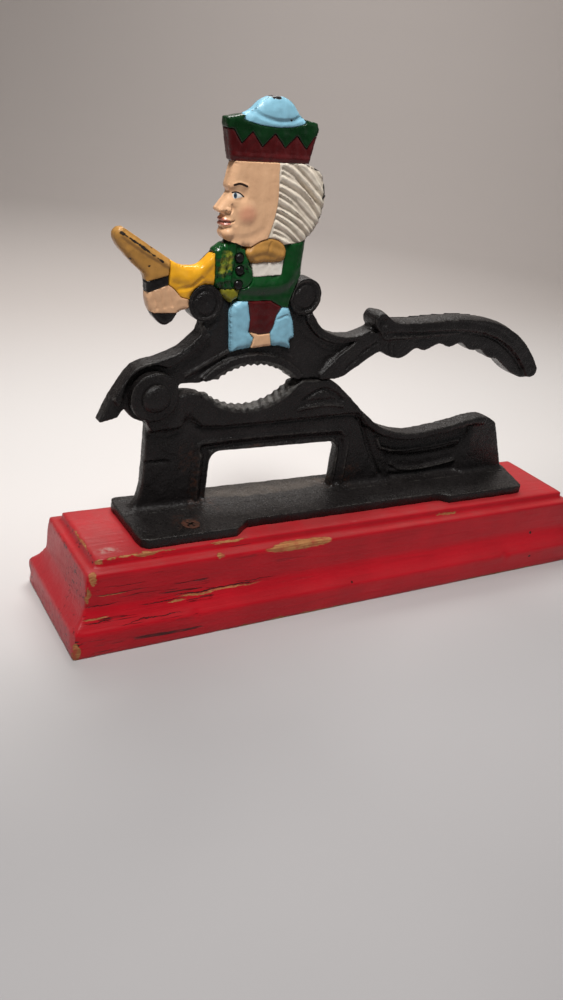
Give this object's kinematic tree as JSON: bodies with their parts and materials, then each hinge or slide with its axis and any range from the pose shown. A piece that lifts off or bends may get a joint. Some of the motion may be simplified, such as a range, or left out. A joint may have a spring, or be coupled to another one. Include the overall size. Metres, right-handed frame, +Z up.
{
  "type": "lever nutcracker",
  "caption": "Cast-iron lever nutcracker with toothed jaws and a painted relief figure, hinged on a stand that is screwed to a moulded wooden plinth.",
  "frame": {"origin": "middle of the plinth's underside", "axes": "+X along the plinth towards the handle end, +Y to the back, +Z up"},
  "size_m": [0.286, 0.0636, 0.2104],
  "materials": {
    "red_wood": "worn red paint on wood",
    "stand_iron": "satin black paint over sand-cast iron",
    "lever_iron": "satin black paint over sand-cast iron",
    "rivet_iron": "satin black paint over sand-cast iron",
    "screw_steel": "rusted",
    "green_paint": "gloss",
    "lapel_paint": "mottled gloss",
    "olive_paint": "gloss",
    "white_paint": "satin",
    "gold_paint": "satin",
    "black_paint": "gloss",
    "orange_paint": "gloss",
    "cream_paint": "satin",
    "maroon_paint": "gloss",
    "blue_paint": "satin",
    "flesh_paint": "satin",
    "face_paint": "satin",
    "hair_paint": "satin",
    "dark_green_paint": "gloss"
  },
  "bodies": {
    "stand": {"plinth": "red_wood", "stand_casting": "stand_iron", "screw_left": "screw_steel", "screw_right": "screw_steel", "hinge_rivet": "rivet_iron", "rivet_washer": "rivet_iron"},
    "lever": {"lever_casting": "lever_iron", "coat": "green_paint", "lapel": "lapel_paint", "tie_end": "olive_paint", "shirt": "white_paint", "bow_tie": "gold_paint", "button_top": "black_paint", "button_middle": "black_paint", "button_bottom": "black_paint", "sleeve": "orange_paint", "hand": "cream_paint", "club": "gold_paint", "club_band": "black_paint", "club_butt": "black_paint", "waistcoat": "maroon_paint", "leg_left": "blue_paint", "leg_right": "blue_paint", "lap": "flesh_paint", "face": "face_paint", "hair": "hair_paint", "hat_band": "maroon_paint", "hat_brim": "dark_green_paint", "pompom": "blue_paint"}
  },
  "joints": [
    {"name": "lever_pivot", "type": "hinge", "parent": "stand", "child": "lever", "pos_m": [-0.102, 0, 0.0955], "axis": [0, -1, 0], "range_deg": [0, 50]}
  ]
}
